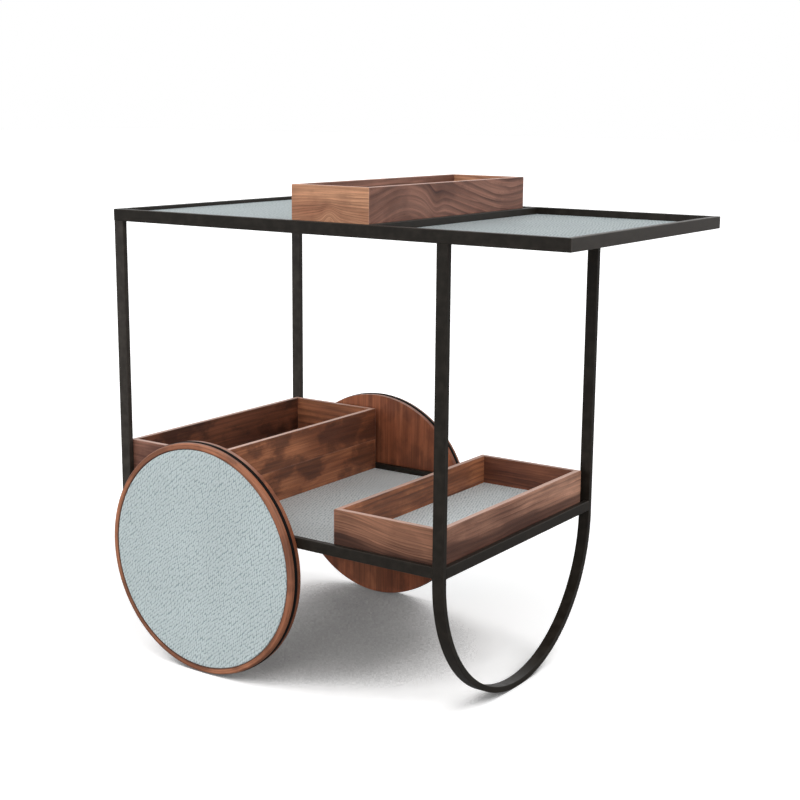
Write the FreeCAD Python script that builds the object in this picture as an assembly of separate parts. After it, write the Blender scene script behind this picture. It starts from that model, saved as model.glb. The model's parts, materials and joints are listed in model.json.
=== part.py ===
import FreeCAD, Part
import math
import os

# Cheese trolley: a slim steel frame on two large wheels and a bent hoop leg,
# with a leather-lined deck above, a shelf below, and three lift-off walnut boxes.
# Millimetres. X runs along the deck, from the wheel end to the overhanging end.
# Y runs from the near side to the far side. Z is up and the floor is at Z = 0.
# Every shape is first made with X = 0 at the deck's wheel end and Y = 0 at the
# near side of the legs, and is moved to the middle of the footprint when saved.

os.makedirs("parts", exist_ok=True)

# ---------------------------------------------------------------- frame sizes
deck_length = 870.0
deck_width = 527.0
deck_height = 778.0
top_bar_height = 20.0
bar_thickness = 10.0
bar_softening = 0.8
crossbar_right_x = 530.0

leg_spread = 490.0
leg_width = 20.0
hoop_right_x = 671.5

shelf_top = 268.0
shelf_bar_height = 18.0

# ------------------------------------------------------- panels in the frame
ledge_thickness = 3.0
ledge_width = 14.0
leather_thickness = 1.5
left_recess = 6.0
right_recess = 11.5
shelf_recess = 9.5
panel_clearance = 0.5


# --------------------------------------------------------------------- wheels
wheel_x = 200.0
disc_radius = 200.0
tyre_proud = 1.0
tyre_depth = 12.0
wheel_gap = 1.5
inner_disc_thickness = 9.0
core_thickness = 6.5
outer_disc_thickness = 8.0
rim_rounding = 4.0
rim_flats = 2
rim_border = 11.0
inset_thickness = 2.5
inset_clearance = 0.4

bush_radius = 10.0
bush_length = 16.0
journal_radius = 6.0
running_clearance = 0.05
fit_clearance = 0.05
end_clearance = 0.3

# ----------------------------------------------------------------------- axle
axle_radius = 8.0
bracket_thickness = 5.0
bracket_top_width = 96.0
bracket_nose_radius = 19.0
end_screw_radius = 3.0
end_screw_length = 16.0
end_screw_head_radius = 12.0
end_screw_head_height = 2.0
pocket_radius = 16.0

# ---------------------------------------------------------------- lift-off boxes
rest_gap = 0.3
side_clearance = 1.0
wood_softening = 0.8
groove_depth = 4.0
groove_clearance = 0.2
bottom_rise = 9.0
bottom_thickness = 6.0
liner_thickness = 1.7
liner_clearance = 0.5

tray_wall = 10.0
lower_tray_length = 203.0
lower_tray_width = 455.0
lower_tray_height = 66.0
top_tray_length = 148.0
top_tray_width = 467.0
top_tray_height = 60.0
top_tray_y = 17.5

box_wall = 10.0
deep_box_length = 194.5
lower_board_height = 57.5
upper_board_height = 61.0

# -------------------------------------------------------------- worked-out places
tyre_radius = disc_radius + tyre_proud
axle_height = tyre_radius
under_deck = deck_height - top_bar_height
shelf_bottom = shelf_top - shelf_bar_height
wheel_outer = wheel_gap + inner_disc_thickness + core_thickness + outer_disc_thickness
crossbar_left_x = crossbar_right_x - bar_thickness

footprint_low_x = min(0.0, wheel_x - tyre_radius)
footprint_high_x = max(deck_length, hoop_right_x)
footprint_low_y = -wheel_outer
footprint_high_y = max(deck_width, leg_spread + wheel_outer)
to_middle = FreeCAD.Vector(
    -(footprint_low_x + footprint_high_x) / 2,
    -(footprint_low_y + footprint_high_y) / 2,
    0,
)

X_AXIS = FreeCAD.Vector(1, 0, 0)
Y_AXIS = FreeCAD.Vector(0, 1, 0)
Z_AXIS = FreeCAD.Vector(0, 0, 1)
ORIGIN = FreeCAD.Vector(0, 0, 0)
TINY = 0.001


# ------------------------------------------------------------------- helpers
def save(shape, name):
    placed = shape.copy()
    placed.translate(to_middle)
    placed.exportStep("parts/" + name + ".step")


def block(x0, y0, z0, x1, y1, z1):
    corner = FreeCAD.Vector(x0, y0, z0)
    return Part.makeBox(x1 - x0, y1 - y0, z1 - z0, corner)


def moved(shape, x, y, z):
    copy = shape.copy()
    copy.translate(FreeCAD.Vector(x, y, z))
    return copy


def turned(shape, axis, angle):
    copy = shape.copy()
    copy.rotate(ORIGIN, axis, angle)
    return copy


def disc(radius, low, high):
    return Part.makeCylinder(radius, high - low, FreeCAD.Vector(0, 0, low))


def edges_along(shape, axis):
    found = []
    for edge in shape.Edges:
        if isinstance(edge.Curve, Part.Line) and abs(edge.tangentAt(edge.FirstParameter).dot(axis)) > 1 - TINY:
            found.append(edge)
    return found


def lathe(profile):
    points = [FreeCAD.Vector(radius, 0, height) for radius, height in profile]
    outline = Part.makePolygon(points + [points[0]])
    return Part.Face(outline).revolve(ORIGIN, Z_AXIS, 360)


def ring(inside_radius, outside_radius, low, high):
    return lathe([
        (inside_radius, low),
        (outside_radius, low),
        (outside_radius, high),
        (inside_radius, high),
    ])


def bar(x0, y0, z0, x1, y1, z1, along):
    solid = block(x0, y0, z0, x1, y1, z1)
    return solid.makeChamfer(bar_softening, edges_along(solid, along))


# ---------------------------------------------- four mitred sides of a rectangle
def mitred_side(length, thickness, height):
    points = [
        FreeCAD.Vector(0, 0, 0),
        FreeCAD.Vector(length, 0, 0),
        FreeCAD.Vector(length - thickness, thickness, 0),
        FreeCAD.Vector(thickness, thickness, 0),
    ]
    outline = Part.makePolygon(points + [points[0]])
    return Part.Face(outline).extrude(Z_AXIS * height)


def mitred_frame(length, width, make_side):
    near = make_side(length)
    far = moved(turned(make_side(length), Z_AXIS, 180), length, width, 0)
    left = moved(turned(make_side(width), Z_AXIS, -90), 0, width, 0)
    right = moved(turned(make_side(width), Z_AXIS, 90), length, 0, 0)
    return {"near": near, "far": far, "left": left, "right": right}


# ---------------------------------------------------------------- the top frame
def top_rail(length):
    solid = mitred_side(length, bar_thickness, top_bar_height)
    return solid.makeChamfer(bar_softening, edges_along(solid, X_AXIS))


def top_frame():
    sides = mitred_frame(deck_length, deck_width, top_rail)
    return {side: moved(rail, 0, 0, under_deck) for side, rail in sides.items()}


def top_crossbar():
    return bar(
        crossbar_left_x, bar_thickness, under_deck,
        crossbar_right_x, deck_width - bar_thickness, deck_height, Y_AXIS,
    )


# ------------------------------------------------------------------- the legs
def left_leg(y0):
    return bar(0, y0, shelf_bottom, leg_width, y0 + bar_thickness, under_deck, Z_AXIS)


def hoop_outline(radius):
    middle = FreeCAD.Vector(0, leg_spread / 2, leg_spread / 2)
    side = Y_AXIS * radius
    foot = middle - Z_AXIS * radius
    near_top = FreeCAD.Vector(0, middle.y - radius, under_deck)
    far_top = FreeCAD.Vector(0, middle.y + radius, under_deck)
    near_line = Part.LineSegment(near_top, middle - side).toShape()
    bend = Part.Arc(middle - side, foot, middle + side).toShape()
    far_line = Part.LineSegment(middle + side, far_top).toShape()
    return [near_line, bend, far_line], near_top, far_top


def hoop_leg():
    outer, outer_near, outer_far = hoop_outline(leg_spread / 2)
    inner, inner_near, inner_far = hoop_outline(leg_spread / 2 - bar_thickness)
    near_end = Part.LineSegment(outer_near, inner_near).toShape()
    far_end = Part.LineSegment(outer_far, inner_far).toShape()
    wire = Part.Wire(Part.__sortEdges__(outer + inner + [near_end, far_end]))
    solid = Part.Face(wire).extrude(X_AXIS * leg_width)
    long_edges = []
    for edge in solid.Edges:
        box = edge.BoundBox
        if box.XLength < TINY and box.ZLength > bar_thickness:
            long_edges.append(edge)
    softened = solid.makeChamfer(bar_softening, long_edges)
    return moved(softened, hoop_right_x - leg_width, 0, 0)


# -------------------------------------------------------------- the lower frame
def shelf_side_rail(y0):
    return bar(
        leg_width, y0, shelf_bottom,
        hoop_right_x - leg_width, y0 + bar_thickness, shelf_top, X_AXIS,
    )


def shelf_end_rail(x0):
    return bar(
        x0, bar_thickness, shelf_bottom,
        x0 + bar_thickness, leg_spread - bar_thickness, shelf_top, Y_AXIS,
    )


# ------------------------------------------------------- ledges, boards, leather
def opening_top_left():
    return (bar_thickness, bar_thickness, crossbar_left_x, deck_width - bar_thickness)


def opening_top_right():
    return (crossbar_right_x, bar_thickness, deck_length - bar_thickness, deck_width - bar_thickness)


def opening_shelf():
    return (bar_thickness, bar_thickness, hoop_right_x - bar_thickness, leg_spread - bar_thickness)


def ledge_strips(opening, z):
    x0, y0, x1, y1 = opening
    top = z + ledge_thickness
    return [
        block(x0, y0, z, x1, y0 + ledge_width, top),
        block(x0, y1 - ledge_width, z, x1, y1, top),
        block(x0, y0 + ledge_width, z, x0 + ledge_width, y1 - ledge_width, top),
        block(x1 - ledge_width, y0 + ledge_width, z, x1, y1 - ledge_width, top),
    ]


def hoop_tie():
    return block(
        hoop_right_x - leg_width, bar_thickness + ledge_width, under_deck,
        hoop_right_x, deck_width - bar_thickness - ledge_width, under_deck + ledge_thickness,
    )


def inside(opening, low, high):
    x0, y0, x1, y1 = opening
    gap = panel_clearance
    return block(x0 + gap, y0 + gap, low, x1 - gap, y1 - gap, high)


def panel(opening, frame_bottom, leather_top):
    board_top = leather_top - leather_thickness
    board = inside(opening, frame_bottom + ledge_thickness, board_top)
    return board, inside(opening, board_top, leather_top)


# --------------------------------------------------------------------- the axle
bracket_margin = (bar_thickness - bracket_thickness) / 2
axle_shoulder = wheel_gap - end_clearance
bush_outer = wheel_gap + bush_length
axle_end = bush_outer + end_clearance


def bracket_outline():
    drop = shelf_bottom - axle_height
    half = bracket_top_width / 2
    reach = math.hypot(half, drop)
    turn = math.atan2(drop, half) - math.acos(bracket_nose_radius / reach)
    touch = FreeCAD.Vector(
        bracket_nose_radius * math.cos(turn), 0, bracket_nose_radius * math.sin(turn)
    )
    mirrored = FreeCAD.Vector(-touch.x, 0, touch.z)
    corner = FreeCAD.Vector(half, 0, drop)
    other_corner = FreeCAD.Vector(-half, 0, drop)
    nose = FreeCAD.Vector(0, 0, -bracket_nose_radius)
    return Part.Wire([
        Part.LineSegment(corner, touch).toShape(),
        Part.Arc(touch, nose, mirrored).toShape(),
        Part.LineSegment(mirrored, other_corner).toShape(),
        Part.LineSegment(other_corner, corner).toShape(),
    ])


def axle_bracket(y0):
    plate = Part.Face(bracket_outline()).extrude(Y_AXIS * bracket_thickness)
    bore = Part.makeCylinder(axle_radius + fit_clearance, bracket_thickness, ORIGIN, Y_AXIS)
    return moved(plate.cut(bore), wheel_x, y0, axle_height)


def half_axle():
    middle = -leg_spread / 2
    tapped = axle_end - end_screw_length
    return lathe([
        (0, middle),
        (axle_radius, middle),
        (axle_radius, axle_shoulder),
        (journal_radius, axle_shoulder),
        (journal_radius, axle_end),
        (end_screw_radius, axle_end),
        (end_screw_radius, tapped),
        (0, tapped),
    ])


def axle():
    near = at_near_wheel(half_axle())
    far = at_far_wheel(half_axle())
    return near.fuse(far).removeSplitter()


# ----------------------------------- things on the axle, made along +Z, both sides
def at_near_wheel(shape):
    return moved(turned(shape, X_AXIS, 90), wheel_x, 0, axle_height)


def at_far_wheel(shape):
    return moved(turned(shape, X_AXIS, -90), wheel_x, leg_spread, axle_height)


def at_both_wheels(shape):
    return Part.makeCompound([at_near_wheel(shape), at_far_wheel(shape)])


def axle_screw():
    foot = axle_end - end_screw_length + end_clearance
    head_top = axle_end + end_screw_head_height
    return lathe([
        (0, foot),
        (end_screw_radius, foot),
        (end_screw_radius, axle_end),
        (end_screw_head_radius, axle_end),
        (end_screw_head_radius, head_top),
        (0, head_top),
    ])


# ------------------------------------------------------------------- the wheels
inner_disc_low = wheel_gap
core_low = inner_disc_low + inner_disc_thickness
outer_disc_low = core_low + core_thickness
inset_low = wheel_outer - inset_thickness
inset_radius = disc_radius - rim_border
core_radius = tyre_radius - tyre_depth
bush_hole = bush_radius + fit_clearance


def rounded_rim():
    # The rounding is turned in short flats, which keeps its facets few.
    points = []
    for step in range(rim_flats + 1):
        angle = math.pi / 2 * step / rim_flats
        radius = disc_radius - rim_rounding * (1 - math.cos(angle))
        height = wheel_outer - rim_rounding * (1 - math.sin(angle))
        points.append((radius, height))
    return points


def outer_disc():
    recess_radius = inset_radius + inset_clearance
    return lathe(
        [(bush_hole, outer_disc_low), (disc_radius, outer_disc_low)]
        + rounded_rim()
        + [
            (recess_radius, wheel_outer),
            (recess_radius, inset_low),
            (pocket_radius, inset_low),
            (pocket_radius, bush_outer),
            (bush_hole, bush_outer),
        ]
    )


def wheel_parts():
    return {
        "inner_disc": ring(bush_hole, disc_radius, inner_disc_low, core_low),
        "core": ring(bush_hole, core_radius, core_low, outer_disc_low),
        "tyre": ring(core_radius + fit_clearance, tyre_radius, core_low, outer_disc_low),
        "outer_disc": outer_disc(),
        "leather": disc(inset_radius, inset_low, wheel_outer),
        "bush": ring(journal_radius + running_clearance, bush_radius, inner_disc_low, bush_outer),
    }


# ------------------------------------------------------------ the lift-off boxes
def box_side(length, wall, boards):
    solids = []
    low = 0.0
    for number, height in enumerate(boards):
        solid = moved(mitred_side(length, wall, height), 0, 0, low)
        high = low + height
        if number == len(boards) - 1:
            rim = [edge for edge in edges_along(solid, X_AXIS) if abs(edge.CenterOfMass.z - high) < TINY]
            solid = solid.makeChamfer(wood_softening, rim)
        solids.append(solid)
        low = high
    groove = block(
        0, wall - groove_depth, bottom_rise,
        length, wall, bottom_rise + bottom_thickness + groove_clearance,
    )
    return Part.makeCompound([solid.cut(groove) for solid in solids])


def lift_off_box(length, width, wall, boards):
    sides = mitred_frame(length, width, lambda side_length: box_side(side_length, wall, boards))
    nodes = {"wall_" + side: solid for side, solid in sides.items()}
    edge = wall - groove_depth + groove_clearance
    board_top = bottom_rise + bottom_thickness
    nodes["bottom"] = block(edge, edge, bottom_rise, length - edge, width - edge, board_top)
    lining = wall + liner_clearance
    nodes["liner"] = block(
        lining, lining, board_top,
        length - lining, width - lining, board_top + liner_thickness,
    )
    return nodes


def save_box(name, nodes, x, y, z):
    for part_name, solid in nodes.items():
        save(moved(solid, x, y, z), name + "_" + part_name)


# ------------------------------------------------------------------- build it all
def build_frame():
    for side, rail in top_frame().items():
        save(rail, "top_rail_" + side)
    save(top_crossbar(), "top_crossbar")
    save(left_leg(0), "left_leg_near")
    save(left_leg(leg_spread - bar_thickness), "left_leg_far")
    save(hoop_leg(), "hoop_leg")
    save(shelf_side_rail(0), "shelf_rail_near")
    save(shelf_side_rail(leg_spread - bar_thickness), "shelf_rail_far")
    save(shelf_end_rail(0), "shelf_rail_left")
    save(shelf_end_rail(hoop_right_x - bar_thickness), "shelf_rail_right")


def build_panels():
    left, right, shelf = opening_top_left(), opening_top_right(), opening_shelf()
    top_strips = ledge_strips(left, under_deck) + ledge_strips(right, under_deck)
    save(Part.makeCompound(top_strips + [hoop_tie()]), "deck_ledges")
    save(Part.makeCompound(ledge_strips(shelf, shelf_bottom)), "shelf_ledges")
    panels = (
        ("deck_left", left, under_deck, deck_height - left_recess),
        ("deck_right", right, under_deck, deck_height - right_recess),
        ("shelf", shelf, shelf_bottom, shelf_top - shelf_recess),
    )
    for name, opening, frame_bottom, leather_top in panels:
        board, leather = panel(opening, frame_bottom, leather_top)
        save(board, name + "_board")
        save(leather, name + "_leather")


def build_wheels():
    save(axle_bracket(bracket_margin), "axle_bracket_near")
    save(axle_bracket(leg_spread - bracket_margin - bracket_thickness), "axle_bracket_far")
    save(axle(), "axle")
    save(at_both_wheels(axle_screw()), "axle_end_screws")
    for part_name, solid in wheel_parts().items():
        save(at_near_wheel(solid), "wheel_near_" + part_name)
        save(at_far_wheel(solid), "wheel_far_" + part_name)


def build_boxes():
    shelf_rest = shelf_top - shelf_recess + rest_gap
    low_y = bar_thickness + side_clearance
    deep_box_width = leg_spread - 2 * low_y
    boards = (lower_board_height, upper_board_height)
    deep_box = lift_off_box(deep_box_length, deep_box_width, box_wall, boards)
    save_box("deep_box", deep_box, bar_thickness + 2 * side_clearance, low_y, shelf_rest)
    lower_tray = lift_off_box(lower_tray_length, lower_tray_width, tray_wall, (lower_tray_height,))
    lower_x = hoop_right_x - bar_thickness - side_clearance - lower_tray_length
    save_box("lower_tray", lower_tray, lower_x, low_y, shelf_rest)
    top_tray = lift_off_box(top_tray_length, top_tray_width, tray_wall, (top_tray_height,))
    top_x = crossbar_left_x - side_clearance - top_tray_length
    top_rest = deck_height - left_recess + rest_gap
    save_box("top_tray", top_tray, top_x, top_tray_y, top_rest)


build_frame()
build_panels()
build_wheels()
build_boxes()
print("parts written:", len(os.listdir("parts")))
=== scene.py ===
# %% [markdown]
# # A cheese trolley
# A slim dark frame on two large wheels and one bent hoop leg, with a leather deck, a leather shelf
# and three loose walnut boxes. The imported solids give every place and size, so the script starts
# by loading them. Each solid is then either given a better finish, or covered by a finer piece of
# the same size that rides on the same body.

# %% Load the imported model
import json
import math

import bmesh
import bpy
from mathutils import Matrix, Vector

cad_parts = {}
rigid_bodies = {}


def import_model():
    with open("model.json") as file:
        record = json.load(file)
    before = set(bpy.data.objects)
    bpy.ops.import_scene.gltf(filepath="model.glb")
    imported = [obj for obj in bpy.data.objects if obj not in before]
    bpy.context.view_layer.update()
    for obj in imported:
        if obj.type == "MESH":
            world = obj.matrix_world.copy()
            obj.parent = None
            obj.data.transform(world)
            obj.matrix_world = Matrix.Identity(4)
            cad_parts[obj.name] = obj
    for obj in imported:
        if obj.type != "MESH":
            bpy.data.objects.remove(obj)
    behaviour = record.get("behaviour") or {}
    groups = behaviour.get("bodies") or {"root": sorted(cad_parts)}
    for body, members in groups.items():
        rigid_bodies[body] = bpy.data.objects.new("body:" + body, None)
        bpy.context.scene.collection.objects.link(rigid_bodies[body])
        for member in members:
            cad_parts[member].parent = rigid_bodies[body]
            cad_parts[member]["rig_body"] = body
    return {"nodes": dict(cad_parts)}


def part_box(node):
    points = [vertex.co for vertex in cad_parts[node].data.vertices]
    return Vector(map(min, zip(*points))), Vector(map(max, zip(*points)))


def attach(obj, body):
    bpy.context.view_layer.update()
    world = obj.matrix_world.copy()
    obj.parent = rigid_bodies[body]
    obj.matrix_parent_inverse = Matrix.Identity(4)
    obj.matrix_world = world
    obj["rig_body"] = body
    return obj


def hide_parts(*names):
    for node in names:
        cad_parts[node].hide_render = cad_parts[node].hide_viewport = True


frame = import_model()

scene = bpy.context.scene
nodes = frame["nodes"]
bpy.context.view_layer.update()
MM = 0.001

# %% [markdown]
# ## The camera
# The photograph was taken from the near side, well to the right, where the deck overhangs. The
# camera stood a little above the deck and had a slightly long lens. Its place came from fitting
# edges of the frame, the wheels, the hoop and the boxes, so it is written here as numbers: where it
# stands, how it is turned, and its focal length.

# %% Camera
camera_data = bpy.data.cameras.new("camera")
camera_data.lens = 64.493
camera_data.sensor_width = 36.0
camera = bpy.data.objects.new("camera", camera_data)
camera.location = (1.34449, -1.99389, 0.95043)
camera.rotation_euler = [math.radians(a) for a in (78.4554, -0.4837, 34.3953)]
scene.collection.objects.link(camera)
scene.camera = camera
scene.view_settings.view_transform = "Standard"
print("camera:", [round(x, 3) for x in camera.location], "lens", camera_data.lens)

# %% [markdown]
# ## A few node helpers
# Materials are written as node trees. One helper adds a node, sets its choices and links its
# inputs. The rest are short names for the nodes that come up again and again, so that a material
# reads like a recipe.


# %% Node helpers
def put(tree, kind, inputs=None, **choices):
    node = tree.nodes.new(kind)
    for name, value in choices.items():
        setattr(node, name, value)
    for socket, value in (inputs or {}).items():
        if isinstance(value, bpy.types.NodeSocket):
            tree.links.new(value, node.inputs[socket])
        else:
            node.inputs[socket].default_value = value
    return node


def math_of(tree, operation, a, b=0.0, c=0.0):
    return put(tree, "ShaderNodeMath", {0: a, 1: b, 2: c}, operation=operation).outputs[0]


def vector_of(tree, operation, a, b):
    node = put(tree, "ShaderNodeVectorMath", {0: a, 1: b}, operation=operation)
    return node.outputs["Value" if operation == "DOT_PRODUCT" else "Vector"]


def place_on(tree):
    """The place on the object, in metres along its own axes."""
    return put(tree, "ShaderNodeTexCoord").outputs["Object"]


def grey_of(tree, value):
    return put(tree, "ShaderNodeCombineColor", {0: value, 1: value, 2: value}).outputs[0]


def colour_mix(tree, factor, a, b, blend="MIX"):
    node = put(tree, "ShaderNodeMix", {0: factor, 6: a, 7: b}, data_type="RGBA", blend_type=blend)
    return node.outputs[2]


def spread(tree, value, low, high, to_low=0.0, to_high=1.0):
    inputs = {0: value, 1: low, 2: high, 3: to_low, 4: to_high}
    return put(tree, "ShaderNodeMapRange", inputs, interpolation_type="SMOOTHSTEP").outputs[0]


def scaled(tree, vector, scale, shift=(0.0, 0.0, 0.0)):
    inputs = {"Vector": vector, "Scale": scale, "Location": shift}
    return put(tree, "ShaderNodeMapping", inputs).outputs[0]


def noise_of(tree, vector, scale, detail=2.0, roughness=0.5):
    inputs = {"Vector": vector, "Scale": scale, "Detail": detail, "Roughness": roughness}
    return put(tree, "ShaderNodeTexNoise", inputs).outputs["Fac"]


def rgb(red, green, blue):
    """A colour as a picture editor shows it, from 0 to 255, turned into light."""
    parts = [c / 255 for c in (red, green, blue)]
    light = [c / 12.92 if c <= 0.04045 else ((c + 0.055) / 1.055) ** 2.4 for c in parts]
    return (*light, 1.0)


def new_group(name, inputs, outputs):
    """A group with named sockets: each input is (name, kind, value), each output (name, kind)."""
    tree = bpy.data.node_groups.new(name, "ShaderNodeTree")
    for label, kind, value in inputs:
        socket = tree.interface.new_socket(label, in_out="INPUT", socket_type="NodeSocket" + kind)
        if value is not None:
            socket.default_value = value
    for label, kind in outputs:
        tree.interface.new_socket(label, in_out="OUTPUT", socket_type="NodeSocket" + kind)
    given = tree.nodes.new("NodeGroupInput").outputs
    result = tree.nodes.new("NodeGroupOutput").inputs
    return tree, given, result


def new_material(name):
    material = bpy.data.materials.new(name)
    material.use_nodes = True
    material.node_tree.nodes.clear()
    tree = material.node_tree
    shader = tree.nodes.new("ShaderNodeBsdfPrincipled")
    put(tree, "ShaderNodeOutputMaterial", {"Surface": shader.outputs[0]})
    return material, tree, shader


def bumped(tree, shader, height, distance, strength=1.0):
    inputs = {"Height": height, "Distance": distance, "Strength": strength}
    tree.links.new(put(tree, "ShaderNodeBump", inputs).outputs[0], shader.inputs["Normal"])


print("helpers ready")

# %% [markdown]
# ## The studio
# The object stands on a seamless white floor, in light that comes from all round, as in a tent of
# white cloth that is brightest at the horizon. A broad patch of it in front is brighter still, and
# a broad lamp on the upper right gives the shadows a side. Rays from the camera, and those that
# reach the world through a reflection, see plain white. The floor is shaded by how much open sky
# each spot has, so the object's shadow stays under the shelf and between the wheels. Part of its
# white is a glow that only the camera sees. To the light that bounces off it the floor is darker,
# because a real sweep of paper isn't endless.

# %% World, floor and lamp
OVERHEAD = 0.14
HORIZON = 1.25
FRONT = 1.62
FRONT_WAY = (-0.31, -0.92, 0.25)
FRONT_RIM, FRONT_MIDDLE = 0.35, 0.95
HORIZON_TOP, OVERHEAD_START = 0.05, 0.75
LAMP_STRENGTH = 1.3
LAMP_WIDTH = 55
LAMP_WAY = (0.68, -0.16, 0.72)
SHADE_REACH = 0.50
SHUT_SKY, OPEN_SKY = 0.29, 0.52
DEEPEST_SHADE = 0.19
PAPER_BOUNCE = 0.28
PAPER_GLOW = 0.42
world = bpy.data.worlds.new("studio")
world.use_nodes = True
world.node_tree.nodes.clear()
sky = world.node_tree
rays = sky.nodes.new("ShaderNodeLightPath").outputs
seen = math_of(sky, "MAXIMUM", rays["Is Camera Ray"], rays["Is Glossy Ray"])
seen = math_of(sky, "MAXIMUM", seen, rays["Is Transmission Ray"])
way = put(sky, "ShaderNodeTexCoord").outputs["Generated"]
facing = vector_of(sky, "DOT_PRODUCT", way, Vector(FRONT_WAY).normalized())
screen = spread(sky, facing, FRONT_RIM, FRONT_MIDDLE)
height = put(sky, "ShaderNodeSeparateXYZ", {0: way}).outputs[2]
above = spread(sky, height, HORIZON_TOP, OVERHEAD_START)
cool = (0.97 * OVERHEAD, 0.985 * OVERHEAD, OVERHEAD, 1)
tent = colour_mix(sky, above, (HORIZON, HORIZON, HORIZON, 1), cool)
extra = colour_mix(sky, screen, (0, 0, 0, 1), (FRONT, FRONT, FRONT, 1))
light_colour = colour_mix(sky, 1.0, tent, extra, "ADD")
sky_colour = colour_mix(sky, seen, light_colour, (1, 1, 1, 1))
background = put(sky, "ShaderNodeBackground", {"Color": sky_colour})
put(sky, "ShaderNodeOutputWorld", {"Surface": background.outputs[0]})
scene.world = world

lamp_data = bpy.data.lights.new("soft light", "SUN")
lamp_data.energy = LAMP_STRENGTH
lamp_data.angle = math.radians(LAMP_WIDTH)
lamp_data.color = (0.985, 0.99, 1.0)
lamp = bpy.data.objects.new("soft light", lamp_data)
lamp.rotation_euler = Vector(LAMP_WAY).to_track_quat("Z", "Y").to_euler()
scene.collection.objects.link(lamp)

floor_mesh = bpy.data.meshes.new("floor")
reach = 40.0
corners = [(-reach, -reach, 0), (reach, -reach, 0), (reach, reach, 0), (-reach, reach, 0)]
floor_mesh.from_pydata(corners, [], [(0, 1, 2, 3)])
floor = bpy.data.objects.new("floor", floor_mesh)
scene.collection.objects.link(floor)

floor_paint, tree, shader = new_material("white floor")
rays = tree.nodes.new("ShaderNodeLightPath").outputs
occlusion = put(tree, "ShaderNodeAmbientOcclusion", {"Distance": SHADE_REACH}, samples=8)
shade = spread(tree, occlusion.outputs["AO"], SHUT_SKY, OPEN_SKY, DEEPEST_SHADE, 1.0)
bounced = (PAPER_BOUNCE, PAPER_BOUNCE, PAPER_BOUNCE, 1)
paper = colour_mix(tree, rays["Is Camera Ray"], bounced, grey_of(tree, shade))
tree.links.new(paper, shader.inputs["Base Color"])
shader.inputs["Roughness"].default_value = 1.0
shader.inputs["Specular IOR Level"].default_value = 0.0
shader.inputs["Emission Color"].default_value = (1, 1, 1, 1)
seen_shade = math_of(tree, "MULTIPLY", rays["Is Camera Ray"], shade)
shine = math_of(tree, "MULTIPLY", seen_shade, PAPER_GLOW)
tree.links.new(shine, shader.inputs["Emission Strength"])
floor_mesh.materials.append(floor_paint)
print("overhead", OVERHEAD, "horizon", HORIZON, "front", FRONT, "lamp", lamp_data.energy)

# %% [markdown]
# ## Walnut, as one node group
# A board shows growth rings cut lengthwise: long dark lines that wander, close in some places and
# far apart in others. Drawing them as contour lines of a slowly changing height gives that figure
# from numbers alone. Fibres run along the board, short dark pores lie between them, and the tone
# drifts from board to board. The group takes a place on the board, with the grain along X.


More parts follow.
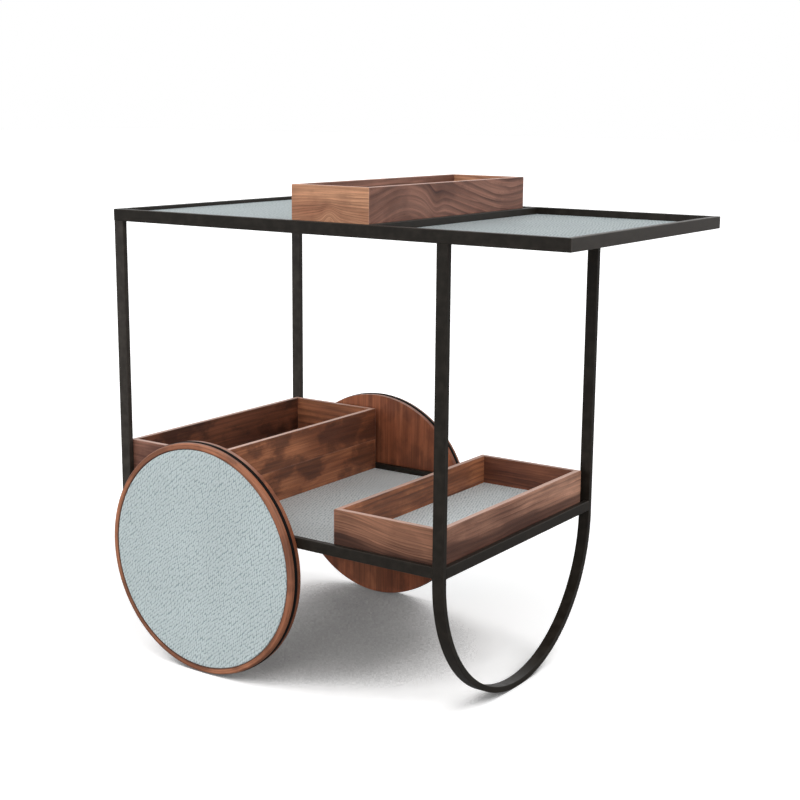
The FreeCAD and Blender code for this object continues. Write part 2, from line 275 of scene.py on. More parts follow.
# %% Walnut group
def make_walnut_group():
    tree, given, result = new_group(
        "Walnut figure",
        [
            ("Board", "Vector", None),
            ("Line Spacing", "Float", 0.010),
            ("Waviness", "Float", 0.030),
            ("Line Strength", "Float", 0.8),
            ("Mottle", "Float", 0.2),
            ("Heartwood Below", "Float", -1.0),
            ("Heartwood Depth", "Float", 0.0),
            ("Dark", "Color", rgb(70, 44, 32)),
            ("Middle", "Color", rgb(140, 95, 72)),
            ("Light", "Color", rgb(182, 134, 106)),
        ],
        [("Color", "Color"), ("Roughness", "Float"), ("Height", "Float")],
    )
    board = given["Board"]
    parts = put(tree, "ShaderNodeSeparateXYZ", {0: board}).outputs
    drift = noise_of(tree, scaled(tree, board, (4.0, 17.0, 17.0)), 1.0, 2.5, 0.55)
    bend = math_of(tree, "MULTIPLY", math_of(tree, "SUBTRACT", drift, 0.5), given["Waviness"])
    level = math_of(tree, "ADD", math_of(tree, "MULTIPLY_ADD", parts[2], 0.45, parts[1]), bend)
    ripple = noise_of(tree, scaled(tree, board, (9.0, 55.0, 55.0), (5.5, 1.1, 2.7)), 1.0, 2.0)
    level = math_of(tree, "MULTIPLY_ADD", ripple, 0.009, level)
    lines = math_of(tree, "FRACT", math_of(tree, "DIVIDE", level, given["Line Spacing"]))
    ramp = put(tree, "ShaderNodeValToRGB", {0: lines})
    stops = ((0.0, 0.0), (0.45, 0.12), (0.80, 0.85), (0.90, 1.0), (1.0, 0.0))
    while len(ramp.color_ramp.elements) < len(stops):
        ramp.color_ramp.elements.new(0.5)
    for element, (place, grey) in zip(ramp.color_ramp.elements, stops):
        element.position = place
        element.color = (grey, grey, grey, 1)
    patches = noise_of(tree, scaled(tree, board, (5.0, 22.0, 22.0), (3.1, 0.4, 0.9)), 1.0, 1.0)
    patchy = spread(tree, patches, 0.3, 0.68, 0.25, 1.0)
    strength = math_of(tree, "MULTIPLY", patchy, given["Line Strength"])
    stretched = scaled(tree, board, (7.0, 170.0, 170.0), (0.3, 4.4, 8.8))
    streak = noise_of(tree, stretched, 1.0, 2.0, 0.6)
    strength = math_of(tree, "MULTIPLY", strength, spread(tree, streak, 0.36, 0.58, 0.4, 1.0))
    dark_line = math_of(tree, "MULTIPLY", ramp.outputs[0], strength)

    tone = noise_of(tree, scaled(tree, board, (3.0, 14.0, 14.0), (7.7, 2.2, 5.0)), 1.0, 3.0, 0.6)
    base = colour_mix(tree, spread(tree, tone, 0.34, 0.66), given["Middle"], given["Light"])
    fibre = noise_of(tree, scaled(tree, board, (9.0, 420.0, 420.0)), 1.0, 3.0, 0.6)
    pores = noise_of(tree, scaled(tree, board, (110.0, 1700.0, 1700.0)), 1.0, 1.0)
    pores = spread(tree, pores, 0.62, 0.72)
    cloud = noise_of(tree, scaled(tree, board, (10.0, 15.0, 15.0), (1.9, 6.2, 3.3)), 1.0, 4.0, 0.6)
    cloud = math_of(tree, "MULTIPLY", spread(tree, cloud, 0.45, 0.58), given["Mottle"])
    base = colour_mix(tree, cloud, base, given["Dark"])
    # A band low on the board is darker: partly heartwood, partly painted shade.
    edge_line = math_of(tree, "MULTIPLY_ADD", drift, 0.08, parts[1])
    dark_band_top = math_of(tree, "ADD", given["Heartwood Below"], 0.040)
    under = math_of(tree, "SUBTRACT", dark_band_top, edge_line)
    heart = math_of(tree, "MULTIPLY", spread(tree, under, -0.004, 0.007), given["Heartwood Depth"])
    base = colour_mix(tree, heart, base, given["Dark"])
    lined = colour_mix(tree, dark_line, base, given["Dark"])
    grey = spread(tree, math_of(tree, "MULTIPLY_ADD", streak, 0.9, fibre), 0.62, 1.28, 0.66, 1.24)
    fibred = colour_mix(tree, 1.0, lined, grey_of(tree, grey), "MULTIPLY")
    pored = colour_mix(tree, math_of(tree, "MULTIPLY", pores, 0.35), fibred, given["Dark"])
    tree.links.new(pored, result["Color"])
    rough = math_of(tree, "MULTIPLY_ADD", pores, 0.15, spread(tree, fibre, 0.3, 0.7, 0.42, 0.56))
    tree.links.new(rough, result["Roughness"])
    tree.links.new(math_of(tree, "MULTIPLY_ADD", pores, -0.6, fibre), result["Height"])
    return tree


walnut_group = make_walnut_group()
print("group:", walnut_group.name, "with", len(walnut_group.nodes), "nodes")

# %% [markdown]
# ## Lightened edges, as one node group
# An edge that hands touch turns lighter and smoother than the faces beside it. On the walnut the
# same lighter edge is also a painted highlight, where the rim catches the light. A Bevel node bends
# the normal only close to an edge, so where it differs from the true normal there is an edge.


# %% Edge group
def make_edge_group():
    width = [("Width", "Float", 0.0015)]
    tree, given, result = new_group("Worn and highlighted edge", width, [("Mask", "Float")])
    rounded = put(tree, "ShaderNodeBevel", {"Radius": given["Width"]}, samples=4).outputs[0]
    flat = tree.nodes.new("ShaderNodeNewGeometry").outputs["Normal"]
    same = vector_of(tree, "DOT_PRODUCT", rounded, flat)
    tree.links.new(spread(tree, same, 0.995, 0.80), result["Mask"])
    return tree


wear_and_highlight_edges = make_edge_group()
print("group:", wear_and_highlight_edges.name)

# %% [markdown]
# ## Walnut materials
# No two boards are cut from the same place, so each wall gets its own material from one recipe:
# which way its grain runs, and a shift that moves it to another part of the tree. The tones differ
# a little between the trays, as they do on the real trolley.


# %% Walnut recipe
def board_space(tree, along, across, through):
    """The place on the board in metres, with the grain along X, read from the object's own axes."""
    axes = dict(zip("xyz", put(tree, "ShaderNodeSeparateXYZ", {0: place_on(tree)}).outputs))
    turned = {0: axes[along], 1: axes[across], 2: axes[through]}
    return put(tree, "ShaderNodeCombineXYZ", turned).outputs[0]


def swirled(tree, board, at, size, rise):
    """Lifts the figure round one spot of the board, as the growth rings do round a knot."""
    away = vector_of(tree, "DIVIDE", vector_of(tree, "SUBTRACT", board, at), size)
    square = vector_of(tree, "DOT_PRODUCT", away, away)
    bell = math_of(tree, "EXPONENT", math_of(tree, "MULTIPLY", square, -1.0))
    lift = put(tree, "ShaderNodeCombineXYZ", {1: math_of(tree, "MULTIPLY", bell, -rise)}).outputs[0]
    return vector_of(tree, "ADD", board, lift)


def two_boards(tree, board, seam, shift):
    """Above the seam is another board, so its figure comes from another part of the tree."""
    across = put(tree, "ShaderNodeSeparateXYZ", {0: board}).outputs[1]
    upper = math_of(tree, "GREATER_THAN", across, seam)
    jump = put(tree, "ShaderNodeVectorMath", {0: shift, "Scale": upper}, operation="SCALE")
    return vector_of(tree, "ADD", board, jump.outputs[0])


# A pale tone for the painted highlight on faces that look up, and for edges, where it is wear and
# painted highlight.
RIM_HIGHLIGHT = (238, 200, 184)


def walnut_shader(tree, shader, board, tones, edge, **figure_inputs):
    """Up-facing faces, the walls' top edges, get a paler tone as a painted highlight; edges take a
    little of it.
    """
    figure = put(tree, "ShaderNodeGroup", node_tree=walnut_group)
    tree.links.new(board, figure.inputs["Board"])
    for name, value in figure_inputs.items():
        figure.inputs[name.replace("_", " ").title()].default_value = value
    for name, tone in zip(("Dark", "Middle", "Light"), tones):
        figure.inputs[name].default_value = rgb(*tone)
    edge_mask = put(tree, "ShaderNodeGroup", node_tree=wear_and_highlight_edges).outputs["Mask"]
    facing = put(tree, "ShaderNodeTexCoord").outputs["Normal"]
    upward = put(tree, "ShaderNodeSeparateXYZ", {0: facing}).outputs[2]
    edge_mask = math_of(tree, "MULTIPLY", edge_mask, 0.2)
    # Painted highlight: faces that look up are paler, as if lit from above.
    highlight_mask = math_of(tree, "MAXIMUM", edge_mask, spread(tree, upward, 0.75, 0.95))
    amount = math_of(tree, "MULTIPLY", highlight_mask, edge)
    colour = colour_mix(tree, amount, figure.outputs["Color"], rgb(*RIM_HIGHLIGHT))
    tree.links.new(colour, shader.inputs["Base Color"])
    tree.links.new(figure.outputs["Roughness"], shader.inputs["Roughness"])
    shader.inputs["Specular IOR Level"].default_value = 0.3
    bumped(tree, shader, figure.outputs["Height"], 0.00025, 0.6)


def walnut(name, axes, shift, tones, edge=0.7, swirls=(), seam=None, **figure_inputs):
    material, tree, shader = new_material(name)
    board = board_space(tree, *axes)
    for at, size, rise in swirls:
        board = swirled(tree, board, at, size, rise)
    if seam:
        board = two_boards(tree, board, seam, (3.7, 0.55, 0.4))
    walnut_shader(tree, shader, vector_of(tree, "ADD", board, shift), tones, edge, **figure_inputs)
    return material


WARM = ((74, 40, 28), (152, 101, 74), (194, 142, 108))
BROWN = ((58, 33, 29), (116, 77, 63), (154, 109, 92))
DEEP = ((44, 23, 18), (100, 57, 40), (136, 83, 58))
RED = ((58, 32, 27), (130, 77, 51), (176, 113, 78))
SMOKED = ((50, 28, 21), (104, 67, 51), (146, 101, 78))
PINK = ((58, 33, 27), (144, 101, 82), (190, 142, 118))
print("tones:", WARM, BROWN, DEEP, RED, SMOKED, PINK)

# %% Walnut for each wall
ALONG_X = ("x", "z", "y")
ALONG_Y = ("y", "z", "x")
LOWER_BOARD = 0.0575
knot = [
    ((0.010, 0.786, 0.0), (0.013, 0.014, 9.0), 0.011),
    ((0.010, 0.775, 0.0), (0.05, 0.03, 9.0), 0.012),
]
cathedral = [
    ((-0.135, 0.800, 0.0), (0.085, 0.080, 9.0), 0.030),
    ((-0.052, 0.792, 0.0), (0.020, 0.030, 9.0), -0.014),
    ((0.190, 0.800, 0.0), (0.150, 9.0, 9.0), -0.045),
]
rising_left = [((0.023, 0.27, 0.0), (0.10, 9.0, 9.0), 0.018)]
# The darker band low on some walls is partly heartwood and partly painted shade. Its top is a
# height in the board's own space: the second number of its shift, plus the height above the floor.
seam_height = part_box("deep_box_wall_right")[0].z + LOWER_BOARD
wall_finishes = {
    "top_tray_wall_near": walnut(
        "top tray near", ALONG_X, (0.0, 0.0, 0.0), WARM, 0.7, knot,
        line_spacing=0.0055, waviness=0.02, mottle=0.25, line_strength=0.65,
    ),
    "top_tray_wall_far": walnut("top tray far", ALONG_X, (1.3, 0.2, 0.5), WARM),
    "top_tray_wall_left": walnut("top tray left", ALONG_Y, (2.1, 0.7, 0.1), BROWN),
    "top_tray_wall_right": walnut(
        "top tray right", ALONG_Y, (3.4, 0.3, 0.9), BROWN, 0.8, cathedral,
        line_spacing=0.013, waviness=0.03, line_strength=1.0, mottle=0.3,
    ),
    "lower_tray_wall_near": walnut(
        "lower tray near", ALONG_X, (4.2, 0.1, 0.2), SMOKED, 0.6, rising_left,
        line_spacing=0.005, waviness=0.02, heartwood_below=0.1 + 0.268, heartwood_depth=0.85,
    ),
    "lower_tray_wall_far": walnut(
        "lower tray far", ALONG_X, (5.3, 0.6, 0.8), DEEP, 0.5, line_strength=0.9,
    ),
    "lower_tray_wall_left": walnut(
        "lower tray left", ALONG_Y, (6.5, 0.9, 0.3), RED, 0.5, mottle=0.4,
    ),
    "lower_tray_wall_right": walnut(
        "lower tray right", ALONG_Y, (7.1, 0.5, 0.6), PINK, 0.6,
        line_spacing=0.009, waviness=0.03, heartwood_below=0.5 + 0.296, heartwood_depth=0.7,
    ),
    "deep_box_wall_near": walnut(
        "deep box near", ALONG_X, (8.8, 0.2, 0.4), BROWN, mottle=0.3,
    ),
    "deep_box_wall_far": walnut(
        "deep box far", ALONG_X, (9.2, 0.8, 0.7), RED, 0.6, line_spacing=0.012,
    ),
    "deep_box_wall_left": walnut(
        "deep box left", ALONG_Y, (10.4, 0.4, 0.1), DEEP, mottle=0.7, line_strength=0.4,
    ),
    "deep_box_wall_right": walnut(
        "deep box right", ALONG_Y, (11.9, 0.1, 0.5), RED, 0.9, seam=seam_height,
        line_spacing=0.022, waviness=0.12, line_strength=0.6, mottle=0.6,
    ),
}
for node, finish in wall_finishes.items():
    nodes[node].material_slots[0].material = finish
print("walls finished:", len(wall_finishes))

# %% [markdown]
# ## Leather, as one node group
# The hide is embossed with a small pebble: a light ground with darker pits a few millimetres apart,
# which stand in slanting rows. A Voronoi texture with little randomness gives that order: its cells
# are the domes, and the spots farthest from every cell's middle are the pits. Its space is sheared
# so that the columns lean, and slow noise bends the rows, as a hide stretches.


# %% Leather group
def make_leather_group():
    tree, given, result = new_group(
        "Pebbled leather",
        [
            ("Surface", "Vector", None),
            ("Row Pitch", "Float", 0.0052),
            ("Hide", "Color", rgb(176, 187, 188)),
            ("Pit Shade", "Color", rgb(140, 153, 156)),
        ],
        [("Color", "Color"), ("Roughness", "Float"), ("Height", "Float")],
    )
    place = given["Surface"]
    parts = put(tree, "ShaderNodeSeparateXYZ", {0: place}).outputs
    row_place = math_of(tree, "MULTIPLY_ADD", noise_of(tree, place, 12.0, 1.0), 0.016, parts[1])
    row_place = math_of(tree, "MULTIPLY_ADD", noise_of(tree, place, 90.0, 1.0), 0.0030, row_place)
    shifted = scaled(tree, place, (1.0, 1.0, 1.0), (0.4, 0.7, 0.2))
    lean = math_of(tree, "MULTIPLY_ADD", parts[1], -0.62, parts[0])
    lean = math_of(tree, "MULTIPLY_ADD", noise_of(tree, shifted, 14.0, 1.0), 0.020, lean)
    lattice = put(tree, "ShaderNodeCombineXYZ", {0: lean, 1: row_place}).outputs[0]
    per_metre = math_of(tree, "DIVIDE", 1.0, given["Row Pitch"])
    cells = put(
        tree, "ShaderNodeTexVoronoi",
        {"Vector": lattice, "Scale": per_metre, "Randomness": 0.33},
        voronoi_dimensions="2D", feature="F1",
    )
    # The pits are painted a darker tone, a painted shade beside the bump.
    dome = spread(tree, cells.outputs["Distance"], 0.68, 0.30)
    fine = noise_of(tree, place, 1300.0, 2.0, 0.6)
    tone = spread(tree, math_of(tree, "MULTIPLY_ADD", fine, 0.40, dome), 0.1, 1.3)
    colour = colour_mix(tree, tone, given["Pit Shade"], given["Hide"])
    slow = noise_of(tree, place, 9.0, 2.0)
    grey = spread(tree, slow, 0.25, 0.75, 0.96, 1.03)
    faded = colour_mix(tree, 1.0, colour, grey_of(tree, grey), "MULTIPLY")
    tree.links.new(faded, result["Color"])
    tree.links.new(spread(tree, dome, 0.0, 1.0, 0.72, 0.55), result["Roughness"])
    tree.links.new(math_of(tree, "MULTIPLY_ADD", fine, 0.12, dome), result["Height"])
    return tree


leather_group = make_leather_group()
print("group:", leather_group.name)


# %% Leather materials
def leather(name, turn, pitch, hide, pit_shade, depth):
    """turn lays the rows of pebbles along X, with the face of the sheet in X and Y."""
    material, tree, shader = new_material(name)
    lay = {"Vector": place_on(tree), "Rotation": turn}
    turned = put(tree, "ShaderNodeMapping", lay).outputs[0]
    hide_node = put(tree, "ShaderNodeGroup", node_tree=leather_group)
    tree.links.new(turned, hide_node.inputs["Surface"])
    hide_node.inputs["Row Pitch"].default_value = pitch
    hide_node.inputs["Hide"].default_value = rgb(*hide)
    hide_node.inputs["Pit Shade"].default_value = rgb(*pit_shade)
    tree.links.new(hide_node.outputs["Color"], shader.inputs["Base Color"])
    tree.links.new(hide_node.outputs["Roughness"], shader.inputs["Roughness"])
    shader.inputs["Specular IOR Level"].default_value = 0.35
    shader.inputs["Sheen Weight"].default_value = 0.08
    bumped(tree, shader, hide_node.outputs["Height"], depth, 0.7)
    return material


# The three are one hide on the real object. The wheels and above all the shelf and the liners are
# written paler than the deck, because this studio brings them less light than the photograph does.
UPRIGHT = math.radians(-90)
SLANT = math.radians(-40)
AWAY = math.radians(-112)
WHEEL_PITCH, SHEET_PITCH = 0.0050, 0.0052
wheel_leather = leather(
    "wheel leather", (UPRIGHT, 0, SLANT), WHEEL_PITCH, (188, 199, 200), (136, 150, 153), 0.0008,
)
deck_leather = leather(
    "deck leather", (0, 0, AWAY), SHEET_PITCH, (176, 186, 187), (128, 143, 147), 0.0007,
)
shelf_leather = leather(
    "shelf leather", (0, 0, AWAY), SHEET_PITCH, (232, 240, 242), (176, 190, 194), 0.0006,
)
print("leathers:", wheel_leather.name, deck_leather.name, shelf_leather.name)

# %% [markdown]
# ## Dark bronze paint, rubber, steel, brass and plywood
# The frame is steel under a dark bronze coat: nearly black, slightly brown, satin, with a fine
# mottle and edges rubbed a shade lighter. The left legs and the right rail catch more light in the
# photograph than this studio brings them, so they get a lighter coat. The axle, the bushes and the
# boards get plain workshop finishes, because the underside is seen from below and from behind.


# %% Bronze group and the small finishes
def make_metal_group():
    tree, given, result = new_group(
        "Coated metal",
        [
            ("Surface", "Vector", None),
            ("Coat", "Color", rgb(40, 36, 32)),
            ("Rubbed", "Color", rgb(74, 68, 62)),
            ("Smoothest", "Float", 0.36),
            ("Roughest", "Float", 0.48),
        ],
        [("Color", "Color"), ("Roughness", "Float"), ("Height", "Float")],
    )
    mottle = noise_of(tree, given["Surface"], 60.0, 4.0, 0.6)
    fine = noise_of(tree, given["Surface"], 900.0, 2.0, 0.6)
    mixed = math_of(tree, "MULTIPLY", spread(tree, mottle, 0.35, 0.75), 0.35)
    tree.links.new(colour_mix(tree, mixed, given["Coat"], given["Rubbed"]), result["Color"])
    satin = spread(tree, mottle, 0.3, 0.7, given["Smoothest"], given["Roughest"])
    tree.links.new(satin, result["Roughness"])
    tree.links.new(fine, result["Height"])
    return tree


metal_group = make_metal_group()


def coated(
    name, coat, rubbed, metallic=0.0, edge=0.5, grain=0.00006, shine=0.35, smoothest=0.36,
):
    material, tree, shader = new_material(name)
    coat_node = put(tree, "ShaderNodeGroup", node_tree=metal_group)
    tree.links.new(place_on(tree), coat_node.inputs["Surface"])
    coat_node.inputs["Coat"].default_value = rgb(*coat)
    coat_node.inputs["Rubbed"].default_value = rgb(*rubbed)
    coat_node.inputs["Smoothest"].default_value = smoothest
    coat_node.inputs["Roughest"].default_value = smoothest + 0.12
    edge_mask = put(tree, "ShaderNodeGroup", node_tree=wear_and_highlight_edges).outputs["Mask"]
    amount = math_of(tree, "MULTIPLY", edge_mask, edge)
    colour = colour_mix(tree, amount, coat_node.outputs["Color"], rgb(*rubbed))
    tree.links.new(colour, shader.inputs["Base Color"])
    tree.links.new(coat_node.outputs["Roughness"], shader.inputs["Roughness"])
    shader.inputs["Metallic"].default_value = metallic
    shader.inputs["Specular IOR Level"].default_value = shine
    bumped(tree, shader, coat_node.outputs["Height"], grain)
    return material


bronze = coated("dark bronze coat", (28, 24, 19), (56, 50, 43), shine=0.24)
# Painted light: a lighter copy of the coat for the bars that catch more light.
lit_bronze = coated("lit bronze coat", (42, 37, 32), (80, 74, 68), shine=0.34)
steel = coated("turned steel", (120, 120, 122), (170, 170, 172), 1.0)
brass = coated("bush brass", (176, 138, 72), (210, 178, 110), 1.0)
rubber = coated(
    "tyre rubber", (12, 11, 11), (26, 25, 25), edge=0.2, grain=0.0002, shine=0.12, smoothest=0.7,
)
BIRCH = ((150, 116, 82), (196, 162, 122), (214, 184, 146))
plywood = walnut(
    "birch plywood", ("x", "y", "z"), (20.0, 0.0, 0.0), BIRCH, 0.1,
    line_spacing=0.03, waviness=0.05, line_strength=0.4,
)
tray_bottom = walnut(
    "tray bottom", ("y", "x", "z"), (14.0, 0.0, 0.0), DEEP, 0.1,
    line_spacing=0.02, waviness=0.06,
)

lighter_bars = ["left_leg_near", "left_leg_far", "top_rail_right"]
dark_bars = ("top_rail", "top_crossbar", "shelf_rail", "axle_bracket")
plain_finishes = {
    bronze: [n for n in nodes if n.startswith(dark_bars) and n not in lighter_bars]
    + ["deck_ledges", "shelf_ledges"],
    lit_bronze: lighter_bars,
    steel: ["axle", "axle_end_screws"],
    brass: ["wheel_near_bush", "wheel_far_bush"],
    plywood: ["deck_left_board", "deck_right_board", "shelf_board"]
    + ["wheel_near_core", "wheel_far_core"],
    tray_bottom: ["top_tray_bottom", "lower_tray_bottom", "deep_box_bottom"],
}
for finish, names in plain_finishes.items():
    for node in names:
        nodes[node].material_slots[0].material = finish
    print(finish.name, "on", len(names), "nodes")

# %% [markdown]
# ## Helpers for pieces
# A new piece is written as a mesh in the object's own coordinates, so it needs no moving. It takes
# smooth shading with crisp corners and rides on the body of the solid it stands for.


# %% Piece helpers
def stand_for(piece, material, *replaced):
    """Gives the piece its finish and puts it where the solids it replaces were, on their body."""
    piece.data.materials.append(material)
    piece.data.shade_smooth()
    piece.data.set_sharp_from_angle(angle=math.radians(38))
    weighted = piece.modifiers.new("even shading", "WEIGHTED_NORMAL")
    weighted.keep_sharp = True
    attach(piece, nodes[replaced[0]]["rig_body"])
    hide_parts(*replaced)


def mesh_piece(name, points, faces):
    mesh = bpy.data.meshes.new(name)
    mesh.from_pydata([tuple(p) for p in points], [], faces)
    work = bmesh.new()
    work.from_mesh(mesh)
    bmesh.ops.remove_doubles(work, verts=work.verts, dist=1e-6)
    bmesh.ops.recalc_face_normals(work, faces=work.faces)
    work.to_mesh(mesh)
    work.free()
    piece = bpy.data.objects.new(name, mesh)
    scene.collection.objects.link(piece)
    return piece


def rounded(corner, radius, start, end, steps=6):
    """Points of an arc in the profile plane, from one angle to another, in degrees."""
    angles = [math.radians(start + (end - start) * i / steps) for i in range(steps + 1)]
    return [(corner[0] + radius * math.cos(a), corner[1] + radius * math.sin(a)) for a in angles]


def turned_piece(name, profile, centre, outward, steps=192):
    """Turns a closed profile about the wheel's axle. Its points are (radius, height) in mm, with
    the height along the axle. outward is -1 where the wheel's outer face looks to -Y, else 1."""
    points, faces = [], []
    count = len(profile)
    for i in range(steps):
        a = 2 * math.pi * i / steps
        for radius, height in profile:
            x, z = radius * MM * math.cos(a), radius * MM * math.sin(a)
            points.append((centre.x + x, centre.y + outward * height * MM, centre.z + z))
    for i in range(steps):
        for j in range(count):
            a, b = i * count + j, i * count + (j + 1) % count
            c, d = (i + 1) % steps * count + (j + 1) % count, (i + 1) % steps * count + j
            faces.append((a, b, c, d))
    return mesh_piece(name, points, faces)


# %% [markdown]
# ## The wheels
# Each wheel is a sandwich: an inner walnut disc, a plywood core inside a black rubber band, and an
# outer walnut disc whose rim is rounded over and whose face is sunk for a round of leather. Under
# the leather a pocket holds the head of the axle's end screw. The pieces are turned profiles,
# because that is how a wheelwright would make them. On the rim the grain follows the ring.

# %% Wheel finishes
RING = ((84, 48, 34), (146, 92, 66), (172, 114, 84))
INNER_FACE = ((66, 34, 24), (136, 77, 51), (162, 99, 68))
# The tone of a painted shade line at the ring's lip, where it meets the leather.
LIP_SHADE_TONE = (58, 33, 24)
LIP_END, LIP_START = 0.1914, 0.1899


def ring_walnut(name, centre, shift):
    """Walnut whose grain runs round the axle: X is the way along the rim, Y is the radius."""
    material, tree, shader = new_material(name)
    from_axle = vector_of(tree, "SUBTRACT", place_on(tree), tuple(centre))
    axes = put(tree, "ShaderNodeSeparateXYZ", {0: from_axle}).outputs
    turn = math_of(tree, "ARCTAN2", axes[0], axes[2])
    out_x = math_of(tree, "MULTIPLY", axes[0], axes[0])
    radius = math_of(tree, "SQRT", math_of(tree, "MULTIPLY_ADD", axes[2], axes[2], out_x))
    along = math_of(tree, "MULTIPLY", turn, 0.2)
    polar = put(tree, "ShaderNodeCombineXYZ", {0: along, 1: radius, 2: axes[1]}).outputs[0]
    walnut_shader(
        tree, shader, vector_of(tree, "ADD", polar, shift), RING, 0.15,
        line_spacing=0.007, waviness=0.014, line_strength=0.45, mottle=0.5,
    )
    # Painted shade: a thin dark line round the lip, where the ring meets the leather.
    lip_shade = math_of(tree, "MULTIPLY", spread(tree, radius, LIP_END, LIP_START), 0.65)
    wood = shader.inputs["Base Color"].links[0].from_socket
    tree.links.new(colour_mix(tree, lip_shade, wood, rgb(*LIP_SHADE_TONE)), shader.inputs["Base Color"])
    return material


# %% Wheel pieces
# Radii and depths in millimetres, with depths measured inwards from each piece's outer face.
RIM = 200.0
DISC, ROUNDING, CHAMFER = 8.0, 4.0, 0.4
LIP, LIP_SOFTNESS = 189.4, 0.5
SUNK = 2.5
POCKET, POCKET_FLOOR = 16.0, 7.5
BORE = 10.05
INSET, INSET_SOFTNESS, CENTRE = 188.9, 2.3, 0.001
TYRE, TYRE_INSIDE, TYRE_WIDTH = 201.0, 189.0, 6.5
SOFTNESS = 1.0


def outer_face(low, high, middle, outward):
    """The point where the axle's line meets the outer face of a box from low to high."""
    return Vector((middle.x, low.y if outward < 0 else high.y, middle.z))


outer_profile = (
    [(BORE, -POCKET_FLOOR), (POCKET, -POCKET_FLOOR), (POCKET, -SUNK)]
    + [(LIP, -SUNK), (LIP, -LIP_SOFTNESS)]
    + rounded((LIP + LIP_SOFTNESS, -LIP_SOFTNESS), LIP_SOFTNESS, 180, 90, 3)
    + rounded((RIM - ROUNDING, -ROUNDING), ROUNDING, 90, 0, 8)
    + [(RIM, CHAMFER - DISC), (RIM - CHAMFER, -DISC), (BORE, -DISC)]
)
inset_profile = (
    [(CENTRE, -0.05), (150.0, -0.05), (180.0, -0.12)]
    + rounded((INSET - INSET_SOFTNESS, -2.45), INSET_SOFTNESS, 84, 0, 6)
    + [(INSET, -SUNK), (CENTRE, -SUNK)]
)
tyre_profile = (
    [(TYRE_INSIDE, 0.0)]
    + rounded((TYRE - SOFTNESS, -SOFTNESS), SOFTNESS, 90, 0, 4)
    + rounded((TYRE - SOFTNESS, SOFTNESS - TYRE_WIDTH), SOFTNESS, 0, -90, 4)
    + [(TYRE_INSIDE, -TYRE_WIDTH)]
)
for side, outward in (("near", -1), ("far", 1)):
    low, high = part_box(f"wheel_{side}_outer_disc")
    middle = (low + high) / 2
    face = outer_face(low, high, middle, outward)
    ring_finish = ring_walnut(f"{side} ring walnut", middle, (13.0 + outward, 0.0, 0.0))
    ring = turned_piece(f"{side}_wheel_ring", outer_profile, face, outward)
    stand_for(ring, ring_finish, f"wheel_{side}_outer_disc")

    inset = turned_piece(f"{side}_wheel_leather_round", inset_profile, face, outward)
    stand_for(inset, wheel_leather, f"wheel_{side}_leather")

    low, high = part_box(f"wheel_{side}_tyre")
    face = outer_face(low, high, middle, outward)
    tyre = turned_piece(f"{side}_wheel_tyre_band", tyre_profile, face, outward)
    stand_for(tyre, rubber, f"wheel_{side}_tyre")

    low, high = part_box(f"wheel_{side}_inner_disc")
    face = outer_face(low, high, middle, outward)
    thick = (high.y - low.y) / MM
    inner_profile = (
        [(BORE, 0.0), (RIM - CHAMFER, 0.0), (RIM, -CHAMFER)]
        + rounded((RIM - SOFTNESS, SOFTNESS - thick), SOFTNESS, 0, -90, 4)
        + [(BORE, -thick)]
    )
    back = turned_piece(f"{side}_wheel_inner_face", inner_profile, face, outward)
    grain = walnut(
        f"{side} inner walnut", ("z", "x", "y"), (16.0 + outward, 0.3, 0.0), INNER_FACE, 0.3,
        line_spacing=0.028, waviness=0.018, line_strength=0.5, mottle=0.4,
    )
    stand_for(back, grain, f"wheel_{side}_inner_disc")
    print(side, "wheel: ring, leather, tyre and inner disc turned")

# %% [markdown]
# ## The hoop
# The right-hand legs are one flat bar, bent into a half circle that touches the floor. It is swept
# here as a rounded section along two straight runs and one smooth arc, finer than the packed
# solid, so that the reflection runs along it without facets.


# %% Hoop
def swept_hoop(low, high, thickness=0.010, soft=0.0009, steps=128):
    radius = (high.y - low.y) / 2
    middle_y = (high.y + low.y) / 2
    centre_z = low.z + radius
    path = [(low.y, high.z, -1.0, 0.0)]
    for i in range(steps + 1):
        a = math.pi + math.pi * i / steps
        y, z = math.cos(a), math.sin(a)
        path.append((middle_y + radius * y, centre_z + radius * z, y, z))
    path.append((high.y, high.z, 1.0, 0.0))
    left, right, inner = low.x + soft, high.x - soft, thickness - soft
    section = []
    for cx, cd, start in (
        (left, soft, 180), (right, soft, 270), (right, inner, 0), (left, inner, 90),
    ):
        for i in range(4):
            a = math.radians(start + 30 * i)
            section.append((cx + soft * math.cos(a), cd + soft * math.sin(a)))
    points, faces = [], []
    for y, z, out_y, out_z in path:
        for x, depth in section:
            points.append((x, y - out_y * depth, z - out_z * depth))
    count = len(section)
    for i in range(len(path) - 1):
        for j in range(count):
            k = (j + 1) % count
            a, b = i * count, (i + 1) * count
            faces.append((a + j, a + k, b + k, b + j))
    faces.append(tuple(range(count)))
    faces.append(tuple(reversed(range((len(path) - 1) * count, len(path) * count))))
    return mesh_piece("bent_hoop_bar", points, faces)


hoop = swept_hoop(*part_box("hoop_leg"))
stand_for(hoop, bronze, "hoop_leg")
print("hoop faces:", len(hoop.data.polygons))

# %% [markdown]
# ## Leather panels
# The deck, the shelf and the bottoms of the boxes are lined with leather sheets. A cut hide lies
# flat but not perfectly so, and its edge rolls down where it is tucked against the frame. Each
# sheet is a grid whose rim is lowered and whose middle swells by a fraction of a millimetre.


# %% Leather sheets
SWELL = 0.00012


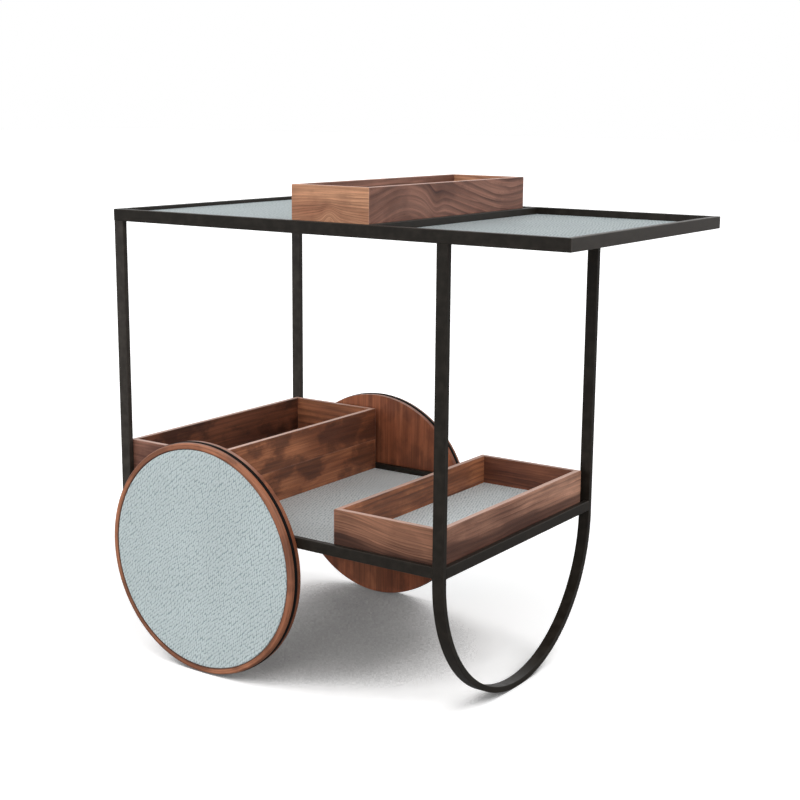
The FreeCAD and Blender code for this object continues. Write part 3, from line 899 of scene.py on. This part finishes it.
def sheet_piece(name, low, high, roll=0.0012, cells=40):
    """A sheet with a rolled rim inside the box from low to high."""

    def stations(a, b, count):
        near_edge = [0.0, roll * 0.15, roll * 0.4, roll]
        inner = [a + roll + (b - a - 2 * roll) * i / count for i in range(1, count)]
        return [a + s for s in near_edge] + inner + [b - s for s in reversed(near_edge)]

    xs, ys = stations(low.x, high.x, cells), stations(low.y, high.y, cells)
    points, faces = [], []
    thick = high.z - low.z
    for x in xs:
        for y in ys:
            edge = min(x - low.x, high.x - x, y - low.y, high.y - y)
            t = min(1.0, edge / roll)
            drop = (1.0 - math.sqrt(max(0.0, 1.0 - (1.0 - t) ** 2))) * min(roll, thick * 0.7)
            wave = math.sin(31.0 * x + 17.0 * y) * math.sin(23.0 * y - 11.0 * x)
            points.append((x, y, high.z - drop - SWELL * (1 - wave) * t))
    top = len(points)
    points += [(x, y, low.z) for x in xs for y in ys]
    rows, count = len(xs), len(ys)
    for i in range(rows - 1):
        for j in range(count - 1):
            a, b = i * count + j, (i + 1) * count + j
            c, d = b + 1, a + 1
            faces.append((a, b, c, d))
            faces.append((top + a, top + d, top + c, top + b))
    rim = [i * count for i in range(rows)] + [(rows - 1) * count + j for j in range(1, count)]
    rim += [i * count + count - 1 for i in range(rows - 2, -1, -1)]
    rim += list(range(count - 2, 0, -1))
    for a, b in zip(rim, rim[1:] + rim[:1]):
        faces.append((a, top + a, top + b, b))
    return mesh_piece(name, points, faces)


sheets = {
    "deck_left_leather": ("deck_leather_wheel_end", "deck_leather"),
    "deck_right_leather": ("deck_leather_overhang", "deck_leather"),
    "shelf_leather": ("shelf_leather_sheet", "deck_leather"),
    "top_tray_liner": ("top_tray_leather", "liner_leather"),
    "lower_tray_liner": ("lower_tray_leather", "liner_leather"),
    "deep_box_liner": ("deep_box_leather", "liner_leather"),
}
for node, (name, slot) in sheets.items():
    sheet = sheet_piece(name, *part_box(node))
    hide = deck_leather if node.startswith("deck_") else shelf_leather
    stand_for(sheet, hide, node)
    print(name, "laid")
